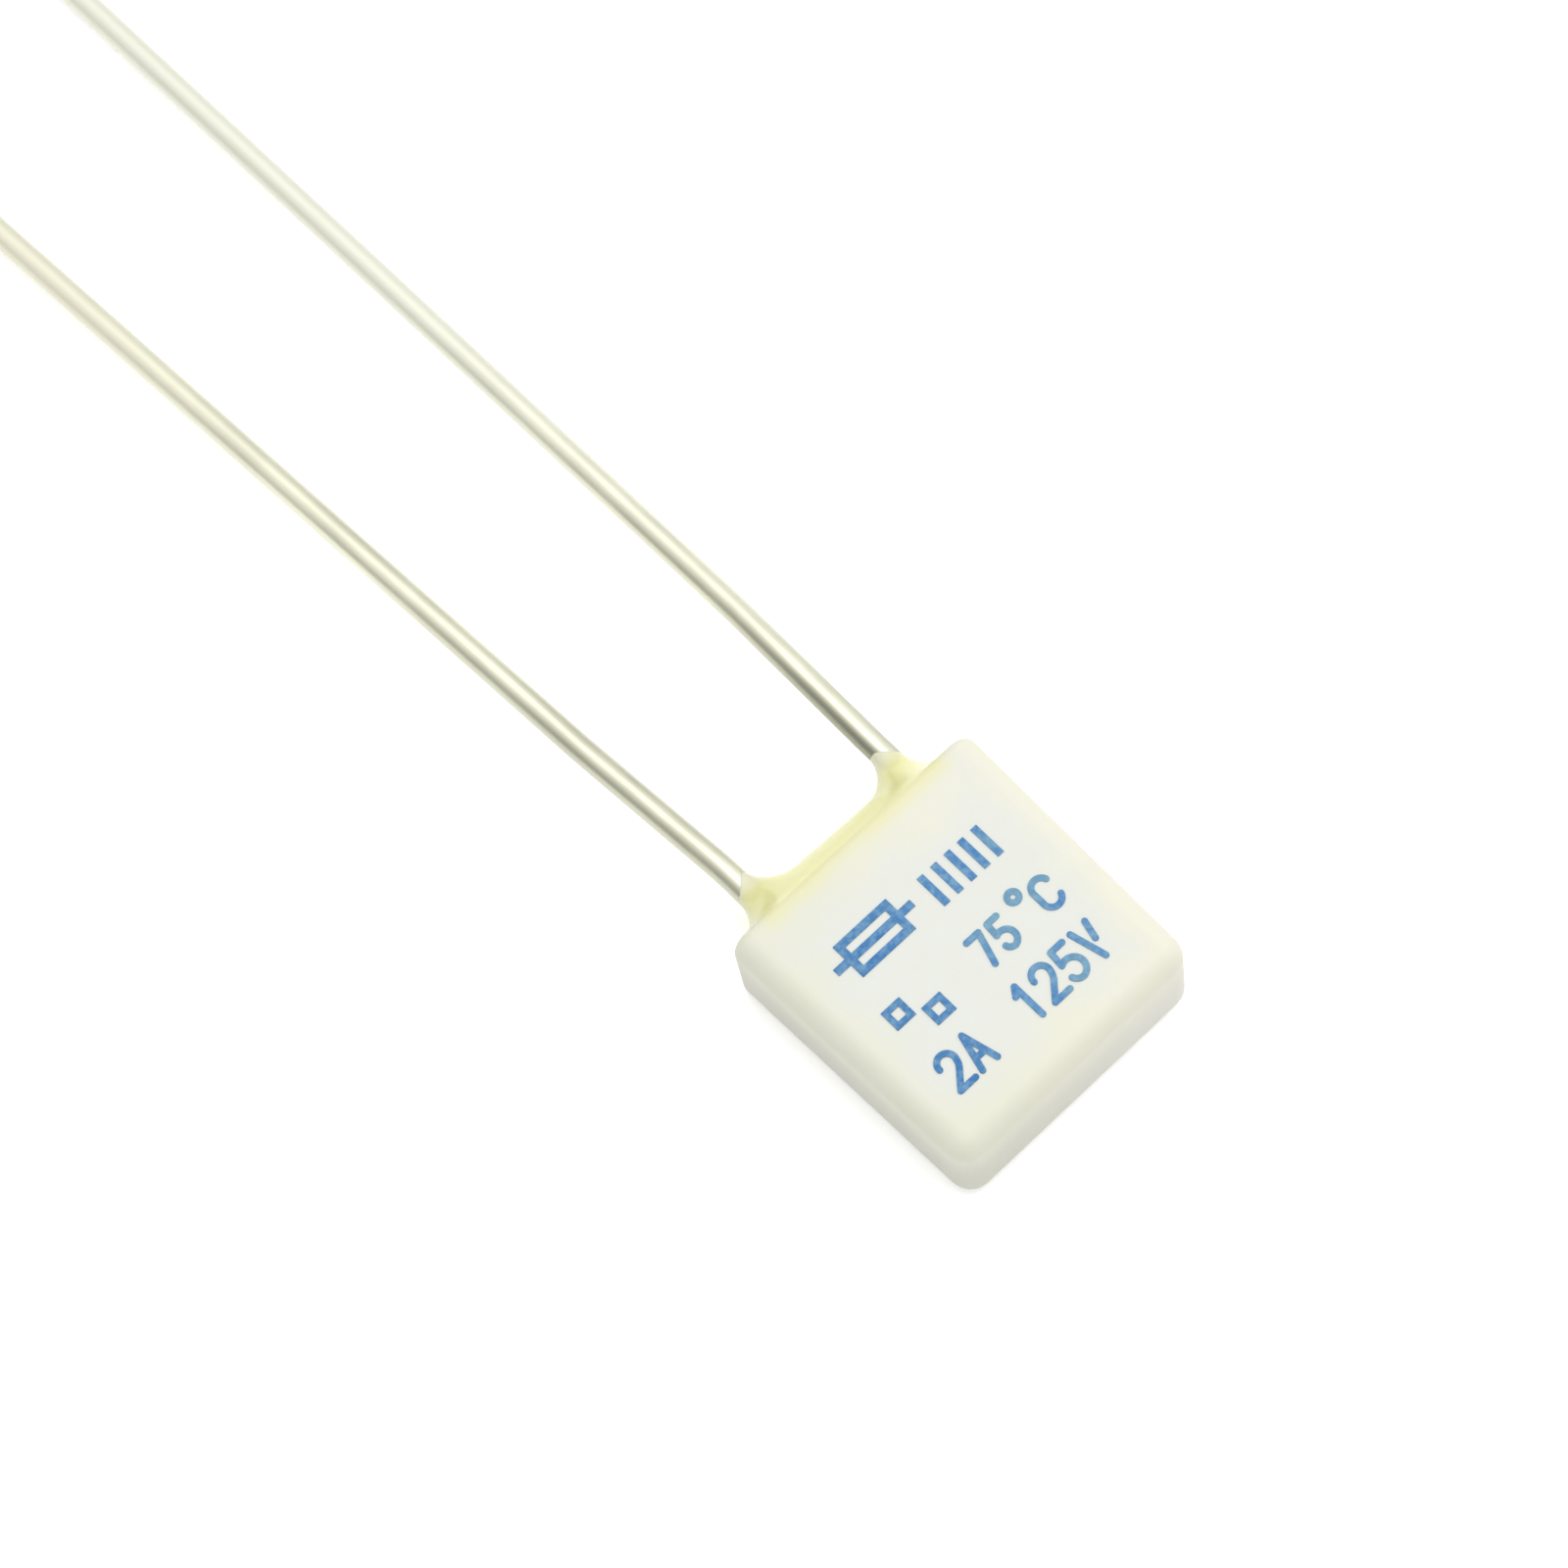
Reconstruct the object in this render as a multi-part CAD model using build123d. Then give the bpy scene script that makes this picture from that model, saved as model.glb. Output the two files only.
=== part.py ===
from build123d import *
import math
import os

# A radial thermal fuse: a flat ceramic case, open at one end, holds a low-melting link between two
# leads. Resin closes the open end. The case lies on its back, +Z is up through the printed face and
# +Y runs along the leads. The origin is the centre of the case's back face. Sizes are in millimetres.

# Ceramic case
CASE_WIDTH = 8.2  # across the open end
CASE_DRAFT = 0.2  # how much each side leans in by the closed end
CASE_LENGTH = 8.2  # open end to closed end
CASE_THICKNESS = 3.2
SIDE_WALL = 0.75  # the two sides and the closed end
FACE_WALL = 0.7  # the printed face and the back
PLAN_CORNER_R = 0.62  # the two upright corners at the closed end
FRONT_EDGE_R = 0.6
BACK_EDGE_R = 0.5
MOUTH_EDGE_R = 0.3
CAVITY_EDGE_R = 0.3

# Leads: each leaves straight, then is bent down and outwards, and once more further out
LEAD_DIAMETER = 0.7
LEAD_PITCH = 5.0
LEAD_LENGTH = 38.0  # beyond the open end
EXIT_RUN = 2.0  # straight run beyond the open end
SECOND_BEND = 7.2  # distance of the second bend beyond the open end
BEND_R = 12.0
RIGHT_DEGREES = (1.6, 0.15)  # outwards, after the first and after the second bend
LEFT_DEGREES = (3.3, 2.05)

# Link and its flux
LINK_DIAMETER = 1.0
LINK_DEPTH = 4.7  # from the open end to the link's centre line
FLUX_COVER = 0.3  # flux round the link, towards the open end and the closed end
FLUX_END_COVER = 0.1  # flux beyond the link's two ends
FLUX_END_CLEARANCE = 0.12  # air between the flux and the two sides
FLUX_CLEARANCE = 0.1  # air between the flux and the printed and back walls
FLUX_EDGE_R = 0.4

# Resin seal
SEAL_DEPTH = 2.3  # into the cavity
SEAL_CROWN = 0.68  # height of the ridge beyond the open end
SEAL_TIP = 1.45  # height of the resin drawn up round each lead
FOOT_R = 0.7  # hollow curve from the ridge up to each lead
NECK_LIP = 0.03  # thickness of the resin where it ends on a lead
NECK_R = 0.8  # hollow curve from each lead down to the two long rims
NECK_SWEEP = 72  # degrees of that curve
SIDE_HOLLOW = 0.16  # how far the resin's two ends curve in between lead and corner
SEAL_EDGE_R = 0.28
RIM_SHARE = 0.1  # share of each side wall's rim that the resin wets
RIM_BARE = 0.02  # flat rim left bare beside its rounded edge, at the printed face and the back

# Print: rows are measured down from the open end
INK = 0.03
PEN = 0.17
TALL = 1.0  # centre to centre height of the largest characters
NARROW = 0.5  # and their width
GAP = 0.24  # between two characters' centre lines
DIGIT_HEIGHT = 0.88
DIGIT_WIDTH = 0.4
TOP_ROW = 2.58
MIDDLE_ROW = 4.6
BOTTOM_ROW = 6.3
PRINT_LEFT = -2.64
TEMPERATURE_LEFT = 0.1
DEGREE_LEFT = 2.16
VOLTAGE_LEFT = -0.17
RING_X = 1.75
RING_ROW = 4.1
RING_R = 0.15
SYMBOL_LEFT = -2.7
SYMBOL_RIGHT = -0.1
SYMBOL_ROW = 2.45
SYMBOL_BOX = 1.8
SYMBOL_HEIGHT = 1.1
SYMBOL_PEN = 0.22
BAR_LEFT = 0.5
BAR_STEP = 0.46
BAR_WIDTH = 0.2
BAR_COUNT = 5
SQUARE_SIZE = 0.62
SQUARES = ((-2.35, 4.3), (-1.55, 4.9))  # centre of each: across, and row

mouth_y = CASE_LENGTH / 2
mid_z = CASE_THICKNESS / 2
lead_r = LEAD_DIAMETER / 2
lead_x = LEAD_PITCH / 2
link_y = mouth_y - LINK_DEPTH
flux_rear = LINK_DEPTH + LINK_DIAMETER / 2 + FLUX_COVER  # from the open end
cavity_half = CASE_WIDTH / 2 - SIDE_WALL - CASE_DRAFT * flux_rear / CASE_LENGTH  # there
flux_half = cavity_half - FLUX_END_CLEARANCE
link_half = flux_half - FLUX_END_COVER


def plan_outline(inset, mouth_extra):
    """The case's outline from above, moved in by inset and run past the open end by mouth_extra."""
    half_mouth = CASE_WIDTH / 2 - inset
    half_closed = half_mouth - CASE_DRAFT
    lean = CASE_DRAFT / CASE_LENGTH
    front = mouth_y + mouth_extra
    half_front = half_mouth + lean * mouth_extra
    rear = -CASE_LENGTH / 2 + inset
    corners = [(-half_front, front), (-half_closed, rear), (half_closed, rear), (half_front, front)]
    return make_face(Polyline(*corners, close=True))


def cavity():
    """The pocket in the case, run out past the open end."""
    pocket = extrude(plan_outline(SIDE_WALL, 1.0), CASE_THICKNESS - 2 * FACE_WALL)
    pocket = Pos(0, 0, FACE_WALL) * pocket
    open_face = pocket.faces().sort_by(Axis.Y)[-1]
    kept = open_face.edges()
    return fillet([e for e in pocket.edges() if e not in kept], CAVITY_EDGE_R)


def ceramic_case():
    """A moulded box with rounded edges, open at +Y."""
    block = extrude(plan_outline(0, 0), CASE_THICKNESS)
    uprights = block.edges().filter_by(Axis.Z).group_by(Axis.Y)[0]
    block = fillet(uprights, PLAN_CORNER_R)
    top = block.faces().sort_by(Axis.Z)[-1]
    block = fillet(top.edges().sort_by(Axis.Y)[:-1], FRONT_EDGE_R)
    back = block.faces().sort_by(Axis.Z)[0]
    block = fillet(back.edges().sort_by(Axis.Y)[:-1], BACK_EDGE_R)
    mouth = block.faces().sort_by(Axis.Y)[-1]
    block = fillet(mouth.edges(), MOUTH_EDGE_R)
    return block - cavity()


def lead_path(side, splay):
    """The centre line of a lead: side is +1 or -1 along X, splay its two outward angles."""
    drop = mid_z - lead_r
    sloping = LEAD_LENGTH - EXIT_RUN
    slope = -drop / sloping
    points = [Vector(side * lead_x, link_y, mid_z)]
    place = Vector(side * lead_x, mouth_y + EXIT_RUN, mid_z)
    points.append(place)
    for angle, reach in zip(splay, (SECOND_BEND - EXIT_RUN, LEAD_LENGTH - SECOND_BEND)):
        place = place + Vector(side * math.tan(math.radians(angle)), 1, slope) * reach
        points.append(place)
    return points


def lead(side, splay):
    """A round wire that follows the path and stops against the link."""
    path = FilletPolyline(*lead_path(side, splay), radius=BEND_R)
    start = Plane(origin=path @ 0, z_dir=path % 0)
    wire = sweep(start * Circle(lead_r), path=path)
    return wire - link_bar()


def link_bar():
    """The low-melting bar across the inner ends of the leads."""
    turned = Rotation(0, 90, 0) * Cylinder(LINK_DIAMETER / 2, 2 * link_half)
    return Pos(0, link_y, mid_z) * turned


def flux_fill(leads):
    """Rosin round the link and the leads' inner ends, just clear of the printed and back walls."""
    depth = LINK_DIAMETER + 2 * FLUX_COVER
    height = CASE_THICKNESS - 2 * (FACE_WALL + FLUX_CLEARANCE)
    block = Pos(0, link_y, mid_z) * Box(2 * flux_half, depth, height)
    block = fillet(block.edges(), FLUX_EDGE_R)
    return block - link_bar() - leads[0] - leads[1]


def seal_top_view():
    """Outline of the resin beyond the open end, seen from the printed face."""
    inner = lead_x - lead_r - NECK_LIP
    outer = lead_x + lead_r + NECK_LIP
    corner_x = CASE_WIDTH / 2 - SIDE_WALL * (1 - RIM_SHARE)
    crown_y = mouth_y + SEAL_CROWN
    tip_y = mouth_y + SEAL_TIP
    bend = FOOT_R * math.sqrt(0.5)
    foot_mid = (inner - FOOT_R + bend, crown_y + FOOT_R - bend)
    side_mid = ((outer + corner_x) / 2 - SIDE_HOLLOW, (tip_y + mouth_y - SIDE_HOLLOW) / 2)
    right = [
        Line((0, crown_y), (inner - FOOT_R, crown_y)),
        ThreePointArc((inner - FOOT_R, crown_y), foot_mid, (inner, crown_y + FOOT_R)),
        Polyline((inner, crown_y + FOOT_R), (inner, tip_y), (outer, tip_y)),
        ThreePointArc((outer, tip_y), side_mid, (corner_x, mouth_y)),
        Line((corner_x, mouth_y), (0, mouth_y)),
    ]
    return make_face(right + [mirror(edge, Plane.YZ) for edge in right])


def seal_side_edge(way):
    """The resin's edge seen from the side, above (+1) or below (-1) the leads' centre line."""
    turn = math.radians(NECK_SWEEP)
    neck = lead_r + NECK_LIP

    def point(angle):
        rise = SEAL_TIP - NECK_R * math.sin(angle)
        return Vector(0, mouth_y + rise, mid_z + way * (neck + NECK_R * (1 - math.cos(angle))))

    hollow = ThreePointArc(point(0), point(turn / 2), point(turn))
    rim = Vector(0, mouth_y, mid_z + way * (mid_z - MOUTH_EDGE_R - RIM_BARE))
    return [hollow, TangentArc(hollow @ 1, rim, tangent=hollow % 1)]


def seal_crown():
    """Resin beyond the open end: a rounded ridge, drawn up in a hollow curve round each lead."""
    upper, lower = seal_side_edge(1), seal_side_edge(-1)
    ends = [Line(upper[0] @ 0, lower[0] @ 0), Line(upper[1] @ 1, lower[1] @ 1)]
    side_view = make_face(upper + lower + ends)
    crown = extrude(seal_top_view(), CASE_THICKNESS) & extrude(side_view, CASE_WIDTH / 2, both=True)
    on_rim = crown.edges().group_by(Axis.Y)[0]
    at_tips = crown.edges().group_by(Axis.Y)[-1]
    return fillet([e for e in crown.edges() if e not in on_rim + at_tips], SEAL_EDGE_R)


def epoxy_seal(leads):
    """Resin in the open end of the case and up round both leads."""
    plug_box = Box(CASE_WIDTH, SEAL_DEPTH, CASE_THICKNESS, align=(Align.CENTER, Align.MAX, Align.MIN))
    plug = cavity() & (Pos(0, mouth_y, 0) * plug_box)
    return plug + seal_crown() - leads[0] - leads[1]


# Strokes of the characters on a cell one unit wide and one unit high: two points make a line, three
# points an arc.
GLYPHS = {
    "1": [[(0.3, 0.78), (0.62, 1)], [(0.62, 1), (0.62, 0)]],
    "2": [
        [(0, 0.74), (0.5, 1), (1, 0.74)],
        [(1, 0.74), (0.92, 0.58), (0.8, 0.47)],
        [(0.8, 0.47), (0, 0)],
        [(0, 0), (1, 0)],
    ],
    "5": [
        [(0.92, 1), (0.14, 1)],
        [(0.14, 1), (0.06, 0.56)],
        [(0.06, 0.56), (1, 0.34), (0.5, 0)],
        [(0.5, 0), (0.2, 0.04), (0, 0.17)],
    ],
    "7": [[(0, 1), (1, 1)], [(1, 1), (0.34, 0)]],
    "A": [[(0, 0), (0.5, 1)], [(0.5, 1), (1, 0)], [(0.2, 0.34), (0.8, 0.34)]],
    "C": [
        [(1, 0.8), (0.5, 1), (0, 0.66)],
        [(0, 0.66), (0, 0.34)],
        [(0, 0.34), (0.5, 0), (1, 0.2)],
    ],
    "V": [[(0, 1), (0.5, 0)], [(1, 1), (0.76, 0.5)]],  # the foot of its second stroke is worn away
}


def stroke(points, pen):
    """A round-ended pen stroke along a line or an arc."""
    curve = Line(*points) if len(points) == 2 else ThreePointArc(*points)
    return SlotArc(curve, pen)


def text(characters, left, middle, width, height):
    """Characters in a row: left edge, centre line, width and height of one character."""
    strokes = []
    for place, character in enumerate(characters):
        shift = left + place * (width + GAP)
        for points in GLYPHS[character]:
            moved = [(shift + x * width, middle + (y - 0.5) * height) for x, y in points]
            strokes.append(stroke(moved, PEN))
    return strokes


def fuse_symbol():
    """The usual circuit symbol of a fuse: a box with a line through it."""
    cx = (SYMBOL_LEFT + SYMBOL_RIGHT) / 2
    cy = mouth_y - SYMBOL_ROW
    box = Pos(cx, cy) * Rectangle(SYMBOL_BOX, SYMBOL_HEIGHT)
    hole = Pos(cx, cy) * Rectangle(SYMBOL_BOX - 2 * SYMBOL_PEN, SYMBOL_HEIGHT - 2 * SYMBOL_PEN)
    line = Pos(cx, cy) * Rectangle(SYMBOL_RIGHT - SYMBOL_LEFT, SYMBOL_PEN)
    return [box - hole, line]


def batch_bars():
    """Plain upright bars beside the symbol."""
    return [
        Pos(BAR_LEFT + place * BAR_STEP, mouth_y - TOP_ROW) * Rectangle(BAR_WIDTH, TALL)
        for place in range(BAR_COUNT)
    ]


def corner_squares():
    """Two small open squares, one set lower."""
    squares = []
    for x, row in SQUARES:
        square = Rectangle(SQUARE_SIZE, SQUARE_SIZE) - Rectangle(SQUARE_SIZE - 2 * PEN, SQUARE_SIZE - 2 * PEN)
        squares.append(Pos(x, mouth_y - row) * square)
    return squares


def printed_marking():
    """Thin ink on the printed face: a symbol, bars, squares and plain rating figures."""
    middle = mouth_y - MIDDLE_ROW
    bottom = mouth_y - BOTTOM_ROW
    shapes = fuse_symbol() + batch_bars() + corner_squares()
    shapes += text("75", TEMPERATURE_LEFT, middle, DIGIT_WIDTH, DIGIT_HEIGHT)
    shapes += text("C", DEGREE_LEFT, middle, NARROW, DIGIT_HEIGHT)
    shapes += text("2A", PRINT_LEFT, bottom, NARROW, TALL)
    shapes += text("125V", VOLTAGE_LEFT, bottom, NARROW, TALL)
    ring = Circle(RING_R + PEN / 2) - Circle(RING_R - PEN / 2)
    shapes.append(Pos(RING_X, mouth_y - RING_ROW) * ring)
    ink = shapes[0]
    for shape in shapes[1:]:
        ink = ink + shape
    return Pos(0, 0, CASE_THICKNESS) * extrude(ink, INK)


def build():
    """Every piece by its name."""
    leads = (lead(1, RIGHT_DEGREES), lead(-1, LEFT_DEGREES))
    return {
        "ceramic_case": ceramic_case(),
        "epoxy_seal": epoxy_seal(leads),
        "lead_right": leads[0],
        "lead_left": leads[1],
        "fusible_link": link_bar(),
        "flux_fill": flux_fill(leads),
        "printed_marking": printed_marking(),
    }


os.makedirs("parts", exist_ok=True)
for name, solid in build().items():
    export_step(solid, os.path.join("parts", name + ".step"))
    print(name, round(solid.volume, 3))
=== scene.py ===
import math

import bmesh
import bpy
from mathutils import Matrix, Vector


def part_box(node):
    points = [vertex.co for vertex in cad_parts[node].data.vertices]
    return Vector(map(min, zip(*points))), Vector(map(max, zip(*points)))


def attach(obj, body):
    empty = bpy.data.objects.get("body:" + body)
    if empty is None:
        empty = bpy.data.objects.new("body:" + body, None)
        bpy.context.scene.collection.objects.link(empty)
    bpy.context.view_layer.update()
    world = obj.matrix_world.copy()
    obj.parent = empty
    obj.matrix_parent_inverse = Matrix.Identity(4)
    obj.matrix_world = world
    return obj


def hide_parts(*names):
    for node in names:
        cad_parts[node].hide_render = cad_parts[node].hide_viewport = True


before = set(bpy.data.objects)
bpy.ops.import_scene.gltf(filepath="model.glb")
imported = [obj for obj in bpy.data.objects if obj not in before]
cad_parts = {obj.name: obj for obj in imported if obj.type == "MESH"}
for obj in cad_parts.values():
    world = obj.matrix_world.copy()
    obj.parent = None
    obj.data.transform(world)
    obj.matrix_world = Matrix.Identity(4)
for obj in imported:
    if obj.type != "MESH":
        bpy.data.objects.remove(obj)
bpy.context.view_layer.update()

MM = 0.001  # named sizes are in mm unless a comment says otherwise; the frame's are in metres

# The camera looks down on the printed face from the case's closed end, a little from the left.
CAMERA_PLACE = Vector((-23.53, -33.77, 114.43)) * MM
CAMERA_RIGHT = Vector((0.7255, -0.6819, -0.0928))
CAMERA_FORWARD = Vector((0.1939, 0.3319, -0.9232))
LENS_MM = 110.8
SENSOR_MM = 36.0

case_low, case_high = (Vector(corner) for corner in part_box("ceramic_case"))
mouth_y = case_high.y  # the case's open end, in metres
MID_Z = (case_low.z + case_high.z) / 2 / MM
HALF_THICK = (case_high.z - case_low.z) / 2 / MM
LEAD_X = 2.5
LEAD_R = 0.35
WELD = 0.0005  # vertices nearer than this become one


# ---------------------------------------------------------------- helpers


class Graph:
    """A small helper round one material's node tree."""

    def __init__(self, name):
        self.material = bpy.data.materials.new(name)
        self.material.use_nodes = True
        self.tree = self.material.node_tree
        self.shader = next(n for n in self.tree.nodes if n.type == "BSDF_PRINCIPLED")
        surface = self.tree.nodes.new("ShaderNodeTexCoord").outputs
        self.coords = surface["Object"]
        self.normal = surface["Normal"]

    def node(self, kind, inputs=None, **settings):
        node = self.tree.nodes.new(kind)
        for key, value in settings.items():
            setattr(node, key, value)
        for key, value in (inputs or {}).items():
            self.feed(node.inputs[key], value)
        return node

    def feed(self, socket, value):
        if isinstance(value, bpy.types.NodeSocket):
            self.tree.links.new(value, socket)
        else:
            socket.default_value = value

    def math(self, operation, *values):
        node = self.node("ShaderNodeMath", operation=operation)
        for place, value in enumerate(values):
            self.feed(node.inputs[place], value)
        return node.outputs[0]

    def split(self, vector):
        """The X, Y and Z of a vector."""
        return self.node("ShaderNodeSeparateXYZ", {0: vector}).outputs

    def noise(self, per_mm, detail=3.0, roughness=0.5, stretch=(1, 1, 1)):
        moved = self.node("ShaderNodeVectorMath", {0: self.coords, 1: stretch}, operation="MULTIPLY")
        inputs = {"Vector": moved.outputs[0], "Scale": per_mm / MM, "Detail": detail,
                  "Roughness": roughness}
        return self.node("ShaderNodeTexNoise", inputs).outputs["Fac"]

    def wander(self, width, per_mm):
        """A slow drift to either side, for borders that aren't straight."""
        centred = self.math("SUBTRACT", self.noise(per_mm, detail=2.0), 0.5)
        return self.math("MULTIPLY", centred, width * MM)

    def ramp(self, value, low, high):
        """0 at low, 1 at high, smooth in between."""
        inputs = {"Value": value, "From Min": low, "From Max": high}
        node = self.node("ShaderNodeMapRange", inputs, interpolation_type="SMOOTHSTEP")
        return node.outputs["Result"]

    def ramp_mm(self, value, low, high):
        """The same for a distance, with low and high in mm."""
        return self.ramp(value, low * MM, high * MM)

    def mix(self, factor, first, second):
        node = self.node("ShaderNodeMix", data_type="RGBA")
        sockets = (node.inputs[0], node.inputs[6], node.inputs[7])  # the factor and two colours
        for socket, value in zip(sockets, (factor, first, second)):
            self.feed(socket, value)
        return node.outputs[2]

    def bump(self, height, distance, strength):
        inputs = {"Height": height, "Distance": distance * MM, "Strength": strength}
        self.feed(self.shader.inputs["Normal"], self.node("ShaderNodeBump", inputs).outputs[0])

    def set(self, **values):
        names = {"colour": "Base Color", "rough": "Roughness", "metal": "Metallic",
                 "specular": "Specular IOR Level", "coat": "Coat Weight",
                 "coat_rough": "Coat Roughness", "sss": "Subsurface Weight",
                 "sss_scale": "Subsurface Scale", "sss_radius": "Subsurface Radius",
                 "glow": "Emission Color", "glow_strength": "Emission Strength"}
        for key, value in values.items():
            self.feed(self.shader.inputs[names[key]], value)
        return self.material


def rgba(red, green, blue):
    """Linear colour from display values 0 to 255."""
    def linear(value):
        value /= 255
        return value / 12.92 if value <= 0.04045 else ((value + 0.055) / 1.055) ** 2.4
    return (linear(red), linear(green), linear(blue), 1.0)


def dress(node, material):
    """Give a CAD node its material."""
    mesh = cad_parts[node].data
    mesh.materials.clear()
    mesh.materials.append(material)


def add_mesh(name, mesh, material):
    """Turn a finished bmesh into an object."""
    data = bpy.data.meshes.new(name)
    mesh.to_mesh(data)
    mesh.free()
    data.materials.append(material)
    thing = bpy.data.objects.new(name, data)
    bpy.context.collection.objects.link(thing)
    return thing


# ---------------------------------------------------------------- ceramic

CERAMIC_COOL = rgba(207, 209, 202)
# painted light: the cream turns lighter towards the right, the side the light comes from
CREAM_SHADED_LEFT, CREAM_LIT_RIGHT = rgba(208, 208, 192), rgba(214, 212, 196)
# painted shade low on the walls, darker on the left
LOW_SHADE_LEFT, LOW_SHADE_RIGHT = rgba(196, 196, 184), rgba(207, 207, 197)
CERAMIC_SOAKED = rgba(212, 210, 164)
# across which the painted light turns the ceramic lighter towards the right
PAINTED_LIGHT_ACROSS = (-4.0, 4.0)
LOW_SHADE_BAND = (2.9, 1.3)  # down the walls, from cream to the painted shade near the floor
MARGIN_BAND = (2.2, 3.9)  # from the middle outwards, from cool to cream
MARGIN_WANDER = 2.4
SOAK_BAND = (0.75, 0.0)  # towards the open end
SOAK_HALF = (3.35, 2.75)  # towards the middle of the width
SOAK_WANDER = 0.5
SCATTER = 0.12  # how far light wanders under the surface of the ceramic and the resin


def ceramic_colour(graph):
    """Cream, cooler in the middle of the faces, with painted shade low on the walls, more on the
    left, and painted light towards the right.

    The resin's yellow has soaked in at the open end.
    """
    place = graph.split(graph.coords)
    across = graph.math("ABSOLUTE", place["X"])
    along = graph.math("ABSOLUTE", place["Y"])
    outwards = graph.math("MAXIMUM", across, along)
    outwards = graph.math("ADD", outwards, graph.wander(MARGIN_WANDER, per_mm=0.45))
    # painted light: lighter towards the right, the side the light comes from
    right = graph.ramp_mm(place["X"], *PAINTED_LIGHT_ACROSS)
    cream = graph.mix(right, CREAM_SHADED_LEFT, CREAM_LIT_RIGHT)
    # painted shade: darker low on the walls near the floor, more on the left
    low = graph.mix(right, LOW_SHADE_LEFT, LOW_SHADE_RIGHT)
    cream = graph.mix(graph.ramp_mm(place["Z"], *LOW_SHADE_BAND), cream, low)
    colour = graph.mix(graph.ramp_mm(outwards, *MARGIN_BAND), CERAMIC_COOL, cream)
    inside = graph.math("SUBTRACT", mouth_y, place["Y"])
    wander = graph.wander(SOAK_WANDER, per_mm=0.9)
    soak = graph.ramp_mm(graph.math("ADD", inside, wander), *SOAK_BAND)
    middle = graph.ramp_mm(graph.math("ADD", across, wander), *SOAK_HALF)
    return graph.mix(graph.math("MULTIPLY", soak, middle), colour, CERAMIC_SOAKED)


def ceramic_material():
    """Fine-grained ceramic without a glaze."""
    graph = Graph("cream_ceramic")
    graph.bump(graph.noise(per_mm=14.0, detail=4.0, roughness=0.6), distance=0.006, strength=0.6)
    rough = graph.math("MULTIPLY_ADD", graph.noise(per_mm=2.0), 0.12, 0.5)
    return graph.set(colour=ceramic_colour(graph), rough=rough, specular=0.35,
                     sss=0.06, sss_radius=(1.0, 0.9, 0.7), sss_scale=SCATTER * MM)


# ---------------------------------------------------------------- resin, its look

RESIN_PALE, RESIN_DEEP = rgba(213, 212, 152), rgba(210, 209, 142)
RESIN_ROOT = rgba(211, 209, 147)
RESIN_OUTSIDE = rgba(206, 204, 158)
# painted light on the rim, lifting the shade along the seam with the case
RESIN_RIM_LIGHT = rgba(217, 215, 161)
RESIN_THIN = rgba(208, 207, 184)
MOTTLE = (0.35, 0.7)  # values of the noise, from pale to deep
ROOT_BAND = (1.3, 0.4)  # towards a lead from either side
OUTSIDE_BAND = (0.1, 0.6)  # from a lead outwards
RIM_LIGHT_BAND = (0.2, -0.09)  # down on to the case's rim, where painted light lifts the shade along the seam
THIN_BAND = (0.75, 1.5)  # up a lead


def epoxy_material():
    """Yellow resin, mottled between the leads and even at their roots.

    It is duller outside the leads, painted lighter on the rim to lift the shade along its seam with
    the case, and paler where it thins out up a lead.
    """
    graph = Graph("yellow_epoxy")
    place = graph.split(graph.coords)
    beside = graph.math("SUBTRACT", graph.math("ABSOLUTE", place["X"]), LEAD_X * MM)
    rise = graph.math("SUBTRACT", place["Y"], mouth_y)
    mottle = graph.ramp(graph.noise(per_mm=0.9), *MOTTLE)
    root = graph.ramp_mm(graph.math("ABSOLUTE", beside), *ROOT_BAND)
    colour = graph.mix(root, graph.mix(mottle, RESIN_PALE, RESIN_DEEP), RESIN_ROOT)
    colour = graph.mix(graph.ramp_mm(beside, *OUTSIDE_BAND), colour, RESIN_OUTSIDE)
    # painted light: lighter on the rim, to lift the shade in the seam with the case
    colour = graph.mix(graph.ramp_mm(rise, *RIM_LIGHT_BAND), colour, RESIN_RIM_LIGHT)
    colour = graph.mix(graph.ramp_mm(rise, *THIN_BAND), colour, RESIN_THIN)
    graph.bump(graph.noise(per_mm=2.2, detail=2.0), distance=0.02, strength=0.5)
    return graph.set(colour=colour, rough=0.25, coat=0.2, coat_rough=0.12,
                     sss=0.12, sss_radius=(1.0, 0.9, 0.4), sss_scale=SCATTER * MM)


# ---------------------------------------------------------------- resin, its shape

RESIN_HALF = 3.55  # half the width of the resin's sheet, whose edge lies inside the case
RESIN_CROWN = 0.77  # how far it stands out between the leads
RESIN_END = 0.27  # and outside them
CROWN_BAND = (1.9, 3.1)  # outwards, from the one to the other
END_FALL = 0.4  # how much less it is at the very ends
END_BAND = (3.1, 3.6)
RESIN_LEAN = 0.03  # the crown is a little higher towards the left lead, per mm across
LEAN_BAND = (1.6, 2.6)  # where that lean ends
RESIN_SINK = 0.088  # how far down the rim's rounded edge the resin ends
RESIN_REACH = 0.945  # where it ends there, as a share of half the thickness
RESIN_TIP = 1.58  # how far it climbs up the leads
TIP_SLOPE = 0.1  # the share that is left of any height above that
MENISCUS = 1.02  # radius of the hollow curve up each lead, on the side towards the other lead
MENISCUS_OUTER = 0.8  # and on the side away from it
RINGS = 34
RING_BIAS = 0.5  # how much closer the rings lie towards the lead, from 0 to 1
EDGE_ALONG, EDGE_ACROSS = 44, 28  # steps along each side of half the opening
EDGE_OVERLAP = 0.01
PLUG_DROP = 0.2  # how far inside the open end the sheet has drawn in to the plug
PLUG_WIDTH, PLUG_THICK = 0.97, 0.55  # the plug's shares of the sheet's width and thickness
PLUG_DEPTH = 2.3


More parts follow.
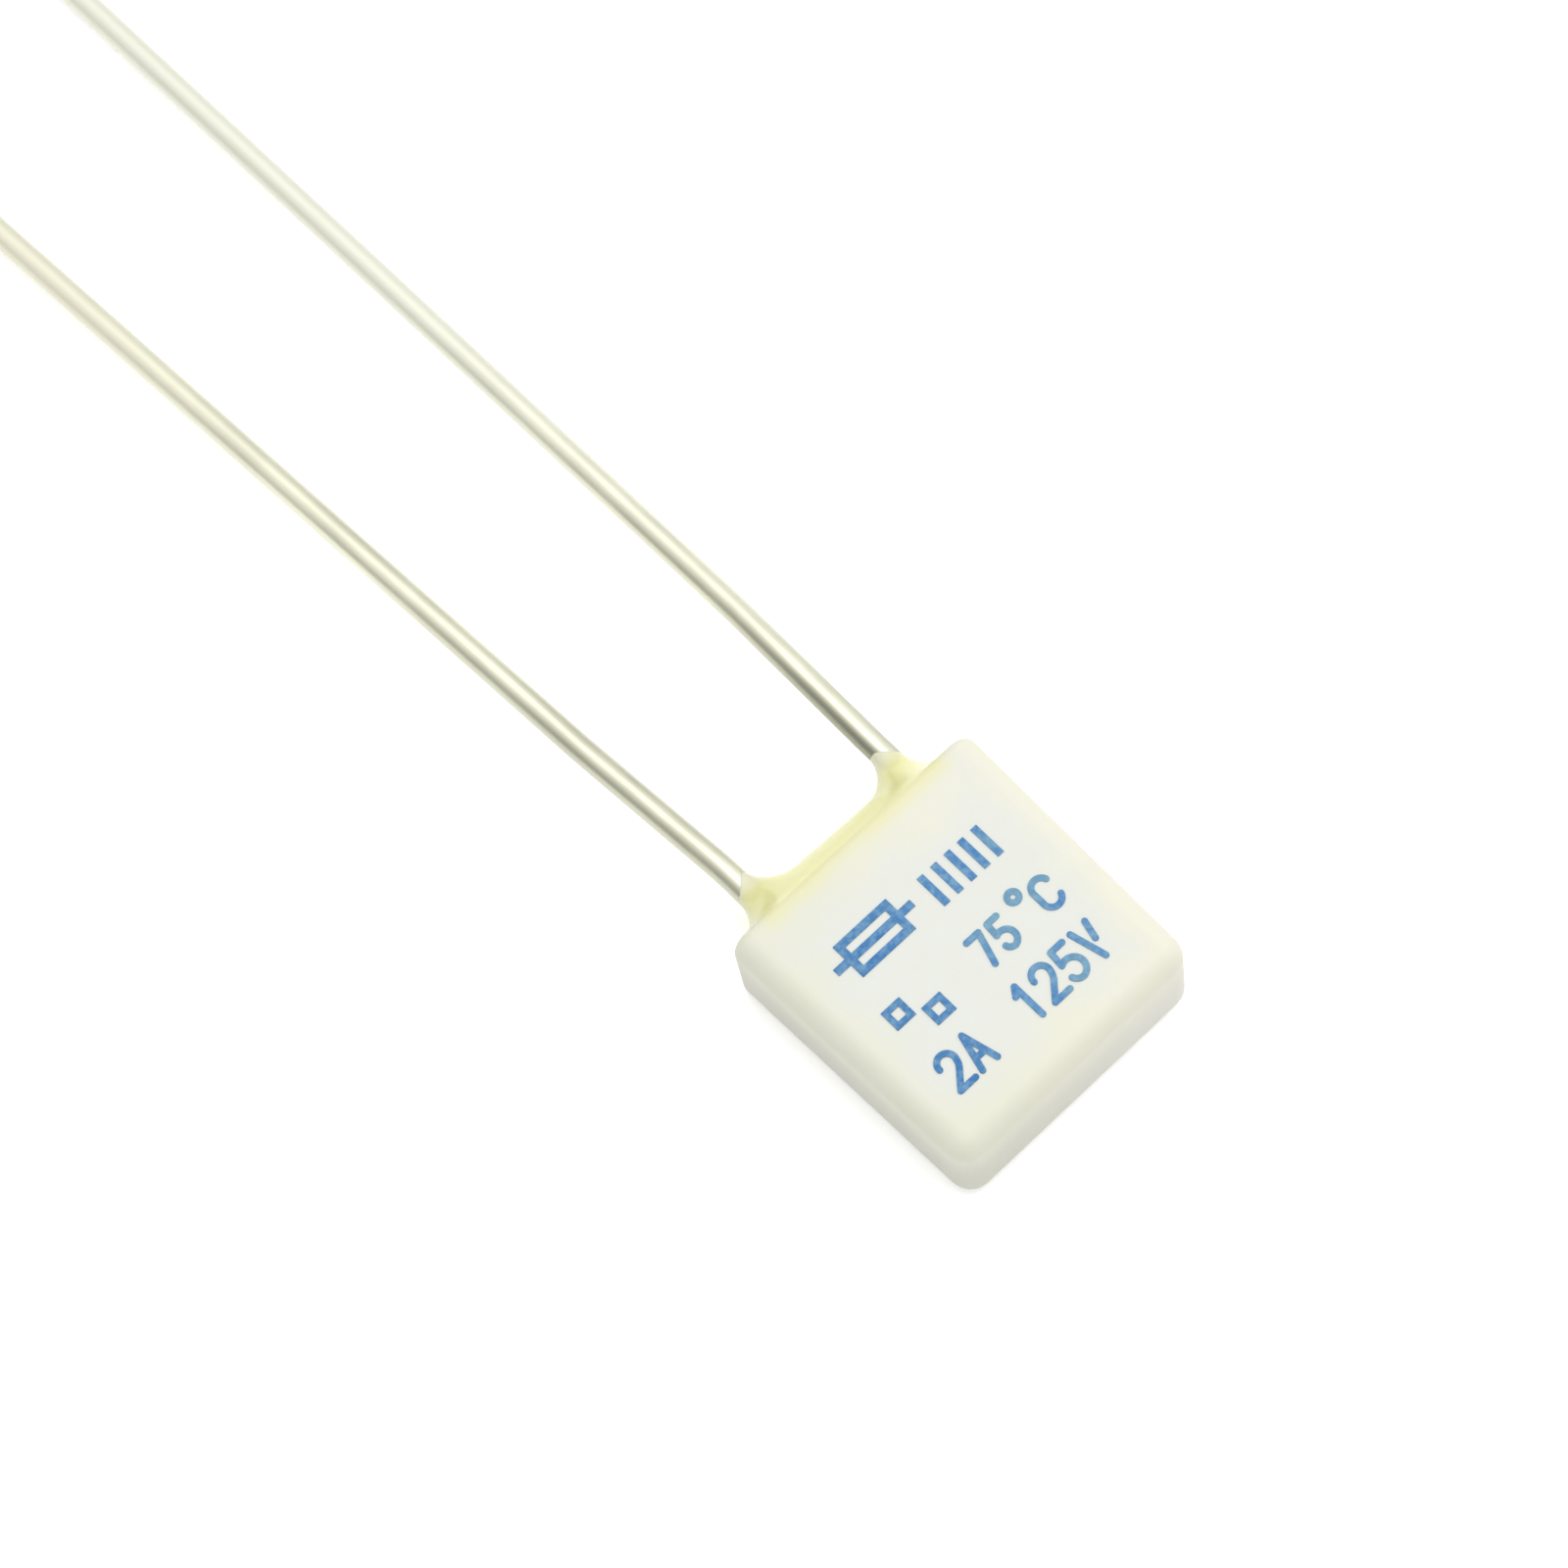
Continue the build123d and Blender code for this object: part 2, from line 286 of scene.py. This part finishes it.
def ease(value, low, high):
    """0 below low, 1 above high, smooth in between."""
    share = min(max((value - low) / (high - low), 0.0), 1.0)
    return share * share * (3 - 2 * share)


def resin_height(x, z):
    """How far the resin stands beyond the open end, in mm, at a place across the opening."""
    lean = RESIN_LEAN * x
    x = abs(x)
    crown = RESIN_CROWN + (RESIN_END - RESIN_CROWN) * ease(x, *CROWN_BAND)
    crown -= END_FALL * ease(x, *END_BAND) + lean * (1 - ease(x, *LEAN_BAND))
    fall = (max(crown, 0.0) + RESIN_SINK) / RESIN_REACH ** 2
    height = crown - fall * ((z - MID_Z) / HALF_THICK) ** 2
    away = math.hypot(x - LEAD_X, z - MID_Z)
    outward = (1 + (x - LEAD_X) / max(away, LEAD_R)) / 2
    hollow = MENISCUS + (MENISCUS_OUTER - MENISCUS) * outward
    gap = max(away - LEAD_R, 0.0)
    if gap < hollow:
        height += hollow - math.sqrt(hollow ** 2 - (hollow - gap) ** 2)
    return min(height, RESIN_TIP + TIP_SLOPE * (height - RESIN_TIP))


def edge_points():
    """Round the right half of the opening, from the middle of the printed face's edge."""
    points = []
    half = HALF_THICK * RESIN_REACH + EDGE_OVERLAP
    for step in range(EDGE_ALONG):
        points.append((RESIN_HALF * step / EDGE_ALONG, MID_Z + half))
    for step in range(EDGE_ACROSS):
        points.append((RESIN_HALF, MID_Z + half * math.cos(math.pi * step / EDGE_ACROSS)))
    for step in range(EDGE_ALONG):
        points.append((RESIN_HALF * (1 - step / EDGE_ALONG), MID_Z - half))
    for step in range(EDGE_ACROSS):
        points.append((0.0, MID_Z - half * math.cos(math.pi * step / EDGE_ACROSS)))
    return points


def add_resin_half(mesh, way):
    """Rings from one lead out to the edge of its half of the opening."""
    rows = []
    for x_edge, z_edge in edge_points():
        angle = math.atan2(z_edge - MID_Z, x_edge - LEAD_X)
        x_lead = LEAD_X + LEAD_R * math.cos(angle)
        z_lead = MID_Z + LEAD_R * math.sin(angle)
        row = []
        for ring in range(RINGS + 1):
            share = (1 - math.cos(math.pi * ring / RINGS)) / 2
            share = (1 - RING_BIAS) * share + RING_BIAS * share ** 2
            x = x_lead + (x_edge - x_lead) * share
            z = z_lead + (z_edge - z_lead) * share
            place = Vector((way * x, 0, z)) * MM
            place.y = mouth_y + resin_height(way * x, z) * MM
            row.append(mesh.verts.new(place))
        rows.append(row)
    for here, there in zip(rows, rows[1:] + rows[:1]):
        for ring in range(RINGS):
            corners = (here[ring], here[ring + 1], there[ring + 1], there[ring])
            mesh.faces.new(corners if way > 0 else corners[::-1])
    tip = [row[0] for row in rows]
    mesh.faces.new(tip if way > 0 else tip[::-1])


def open_edges(mesh):
    return [edge for edge in mesh.edges if edge.is_boundary]


def extrude_rim(mesh):
    """Grow a wall from the open edge and return its new vertices."""
    grown = bmesh.ops.extrude_edge_only(mesh, edges=open_edges(mesh))["geom"]
    return [item for item in grown if isinstance(item, bmesh.types.BMVert)]


def add_resin():
    """The poured resin: its curved outside, and the plug behind it in the cavity."""
    mesh = bmesh.new()
    add_resin_half(mesh, 1)
    add_resin_half(mesh, -1)
    bmesh.ops.remove_doubles(mesh, verts=mesh.verts, dist=WELD * MM)
    for edge in open_edges(mesh):
        edge.smooth = False
    for vert in extrude_rim(mesh):
        vert.co.x *= PLUG_WIDTH
        vert.co.z = (MID_Z + (vert.co.z / MM - MID_Z) * PLUG_THICK) * MM
        vert.co.y = mouth_y - PLUG_DROP * MM
    for vert in extrude_rim(mesh):
        vert.co.y = mouth_y - PLUG_DEPTH * MM
    bmesh.ops.contextual_create(mesh, geom=open_edges(mesh))
    bmesh.ops.recalc_face_normals(mesh, faces=mesh.faces)
    resin = add_mesh("resin_poured", mesh, epoxy_material())
    resin.data.shade_smooth()
    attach(resin, "root")
    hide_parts("epoxy_seal")


# ---------------------------------------------------------------- wires and hidden pieces

TIN_DULL, TIN_BRIGHT = rgba(204, 204, 184), rgba(222, 222, 201)
TIN_TONES = (0.35, 0.65)  # values of the noise, from dull to bright
TIN_PALE_LEFT, TIN_PALE_RIGHT = rgba(218, 216, 195), rgba(219, 219, 204)  # at the free ends
# Painted shade on the wires' flanks, standing in for dark reflections.
TIN_LEFT_SHADE, TIN_RIGHT_SHADE = rgba(146, 147, 130), rgba(176, 176, 160)
WHICH_WIRE = (-1, 1)  # from the left wire to the right one
PALE_BAND = (12, 30)  # outwards by y + x, so that the right wire turns pale first
NEAR_SHADE_BAND = (17, 8)  # inwards by y + x, where the painted shade on the flanks sets in
NEAR_SHADE_LEFT = 0.4  # how dark the painted shade on the left wire's flanks is there
NEAR_SHADE_MORE = 0.5  # and how much darker the painted shade on the right wire's flanks is
LEFT_SHADE_FACING, RIGHT_SHADE_FACING = (-0.1, -0.6), (0.3, 0.9)  # where the painted shade lies, by the x of the surface's normal
FAR_SHADE = 0.35  # how much of the painted shade stays on the right flanks at the free ends
MATT = 0.62  # how much of the metal's look is lost at the free ends


def wire_material():
    """Dull tin plating with drawn streaks and cloudy patches.

    Painted shade darkens both flanks close to the case, most on the left; the right flank keeps some
    of it at the free ends, where the wire turns matt and pale.
    """
    graph = Graph("tinned_wire")
    place = graph.split(graph.coords)
    facing = graph.split(graph.normal)["X"]
    along = graph.math("ADD", place["Y"], place["X"])
    right_wire = graph.ramp_mm(place["X"], *WHICH_WIRE)
    pale = graph.ramp_mm(along, *PALE_BAND)
    # painted shade: how dark the flanks are, strongest close to the case
    near = graph.math("MULTIPLY_ADD", right_wire, NEAR_SHADE_MORE, NEAR_SHADE_LEFT)
    near = graph.math("MULTIPLY", graph.ramp_mm(along, *NEAR_SHADE_BAND), near)
    streak = graph.noise(per_mm=3.0, detail=4.0, stretch=(1, 0.05, 1))
    cloud = graph.noise(per_mm=0.45)
    tone = graph.math("MULTIPLY", graph.math("ADD", streak, cloud), 0.5)
    colour = graph.mix(graph.ramp(tone, *TIN_TONES), TIN_DULL, TIN_BRIGHT)
    colour = graph.mix(pale, colour, graph.mix(right_wire, TIN_PALE_LEFT, TIN_PALE_RIGHT))
    # painted shade on the left flank
    left = graph.math("MULTIPLY", graph.ramp(facing, *LEFT_SHADE_FACING), near)
    colour = graph.mix(left, colour, TIN_LEFT_SHADE)
    # painted shade on the right flank, part of which stays at the free ends
    right = graph.math("MULTIPLY_ADD", pale, FAR_SHADE, near)
    right = graph.math("MULTIPLY", graph.ramp(facing, *RIGHT_SHADE_FACING), right)
    colour = graph.mix(right, colour, TIN_RIGHT_SHADE)
    metal = graph.math("MULTIPLY_ADD", pale, -MATT, 1.0)
    rough = graph.math("MULTIPLY_ADD", cloud, 0.16, 0.34)
    graph.bump(streak, distance=0.012, strength=0.5)
    return graph.set(colour=colour, rough=rough, metal=metal)


def alloy_material():
    """Grey low-melting alloy."""
    graph = Graph("fusible_alloy")
    colour = graph.mix(graph.noise(per_mm=1.5), rgba(196, 198, 200), rgba(214, 215, 214))
    graph.bump(graph.noise(per_mm=6.0), distance=0.01, strength=0.4)
    return graph.set(colour=colour, rough=0.38, metal=1.0)


def rosin_material():
    """Glossy amber rosin."""
    graph = Graph("rosin")
    colour = graph.mix(graph.noise(per_mm=1.2), rgba(170, 110, 40), rgba(206, 150, 72))
    graph.bump(graph.noise(per_mm=2.0), distance=0.02, strength=0.4)
    return graph.set(colour=colour, rough=0.15, coat=0.4)


# ---------------------------------------------------------------- print

INK_DEEP, INK_WEAK = rgba(54, 112, 164), rgba(90, 134, 162)
INK_HEAVY = rgba(30, 98, 158)
INK_SPECK = rgba(132, 170, 190)
INK_THIN = rgba(186, 204, 210)
INK_PATCHES = (0.4, 0.62)  # values of the noise, from deep to weak
INK_SPECKS = (0.36, 0.7)  # values of the noise, from no speck to a full one
INK_HEAVY_BAND = (0.3, -0.9)  # towards the left
INK_HEAVY_SHARE, INK_SPECK_SHARE = 0.75, 0.45
INK_COVER = "ink_cover"
INK_EDGE = 0.075  # width of the paler band along each stroke's edge
INK_TOP = 0.001  # faces within this of the top are the ink's upper side


def ink_material():
    """Thin blue ink, uneven, heavier on the left, and paler towards the edge of each stroke."""
    graph = Graph("blue_ink")
    cover = graph.node("ShaderNodeAttribute", attribute_name=INK_COVER).outputs["Fac"]
    patch = graph.ramp(graph.noise(per_mm=0.8, detail=2.0), *INK_PATCHES)
    speck = graph.ramp(graph.noise(per_mm=5.0, detail=4.0, roughness=0.65), *INK_SPECKS)
    heavy = graph.ramp_mm(graph.split(graph.coords)["X"], *INK_HEAVY_BAND)
    colour = graph.mix(patch, INK_DEEP, INK_WEAK)
    colour = graph.mix(graph.math("MULTIPLY", heavy, INK_HEAVY_SHARE), colour, INK_HEAVY)
    colour = graph.mix(graph.math("MULTIPLY", speck, INK_SPECK_SHARE), colour, INK_SPECK)
    colour = graph.mix(cover, INK_THIN, colour)
    graph.bump(graph.noise(per_mm=20.0), distance=0.004, strength=0.5)
    return graph.set(colour=colour, rough=0.5, specular=0.3)


def add_marking():
    """The ink's own outline, with a band along every edge where the ink thins out."""
    mesh = bmesh.new()
    mesh.from_mesh(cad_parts["printed_marking"].data)
    bmesh.ops.remove_doubles(mesh, verts=mesh.verts, dist=WELD * MM)
    top = max(vert.co.z for vert in mesh.verts) - INK_TOP * MM
    upper = [face for face in mesh.faces if min(vert.co.z for vert in face.verts) > top]
    before = set(mesh.verts)
    bmesh.ops.inset_region(mesh, faces=upper, thickness=INK_EDGE * MM, use_even_offset=True)
    cover = mesh.verts.layers.float.new(INK_COVER)
    for vert in mesh.verts:
        vert[cover] = 0.0 if vert in before else 1.0
    marking = add_mesh("marking_ink", mesh, ink_material())
    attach(marking, "root")
    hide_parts("printed_marking")


# ---------------------------------------------------------------- studio

FLOOR_HALF = 2.0  # metres
FLOOR_DROP = 0.01
FLOOR_GLOW = 0.2  # lifts the shadows on the floor, as a light table does
LIGHT_AIM = Vector((0, 4, 0)) * MM
DOME_LOW, DOME_HIGH = 0.21, 1.34  # strengths at the horizon and overhead
DOME_LEAN = 0.05  # how much the right side counts as higher


def floor_material():
    """Nearly white card."""
    graph = Graph("pale_floor")
    colour = graph.mix(graph.noise(per_mm=0.02), rgba(250, 250, 250), rgba(252, 252, 252))
    return graph.set(colour=colour, rough=0.9, specular=0.1, glow=(1, 1, 1, 1),
                     glow_strength=FLOOR_GLOW)


def add_floor():
    grid = bmesh.new()
    bmesh.ops.create_grid(grid, x_segments=1, y_segments=1, size=FLOOR_HALF)
    floor = add_mesh("floor", grid, floor_material())
    floor.location.z = -FLOOR_DROP * MM


def add_area(name, place, size, watts):
    """A round lamp that faces the case, with its place and size in metres."""
    light = bpy.data.lights.new(name, "AREA")
    light.shape = "DISK"
    light.size = size
    light.energy = watts
    lamp = bpy.data.objects.new(name, light)
    lamp.location = place
    lamp.rotation_euler = (LIGHT_AIM - Vector(place)).to_track_quat("-Z", "Y").to_euler()
    bpy.context.collection.objects.link(lamp)


def add_world():
    """A pale dome, brighter overhead and to the right than near the floor on the left."""
    world = bpy.data.worlds.new("studio")
    world.use_nodes = True
    tree = world.node_tree
    back = next(n for n in tree.nodes if n.type == "BACKGROUND")
    coords = tree.nodes.new("ShaderNodeTexCoord")
    split = tree.nodes.new("ShaderNodeSeparateXYZ")
    reach = tree.nodes.new("ShaderNodeMapRange")
    reach.inputs["To Min"].default_value = DOME_LOW
    reach.inputs["To Max"].default_value = DOME_HIGH
    tree.links.new(coords.outputs["Generated"], split.inputs[0])
    lean = tree.nodes.new("ShaderNodeMath")
    lean.operation = "MULTIPLY_ADD"
    lean.inputs[1].default_value = DOME_LEAN
    tree.links.new(split.outputs["X"], lean.inputs[0])
    tree.links.new(split.outputs["Z"], lean.inputs[2])
    tree.links.new(lean.outputs[0], reach.inputs["Value"])
    tree.links.new(reach.outputs["Result"], back.inputs["Strength"])
    back.inputs["Color"].default_value = (1, 1, 1, 1)
    bpy.context.scene.world = world


def add_camera():
    right = CAMERA_RIGHT.normalized()
    forward = (CAMERA_FORWARD - right * CAMERA_FORWARD.dot(right)).normalized()
    up = right.cross(forward)
    turn = Matrix((right, up, -forward)).transposed().to_4x4()
    camera = bpy.data.cameras.new("camera")
    camera.lens = LENS_MM
    camera.sensor_width = SENSOR_MM
    camera.clip_start = MM
    seat = bpy.data.objects.new("camera", camera)
    seat.matrix_world = Matrix.Translation(CAMERA_PLACE) @ turn
    bpy.context.collection.objects.link(seat)
    bpy.context.scene.camera = seat


# ---------------------------------------------------------------- scene

dress("ceramic_case", ceramic_material())
add_resin()
wire = wire_material()
dress("lead_right", wire)
dress("lead_left", wire)
dress("fusible_link", alloy_material())
dress("flux_fill", rosin_material())
add_marking()

add_floor()
add_world()
add_area("key", place=(0.1, 0.02, 0.42), size=0.3, watts=0.7)
add_area("side", place=(0.5, 0.06, 0.2), size=0.3, watts=0.3)
add_camera()
bpy.context.scene.view_settings.view_transform = "Standard"
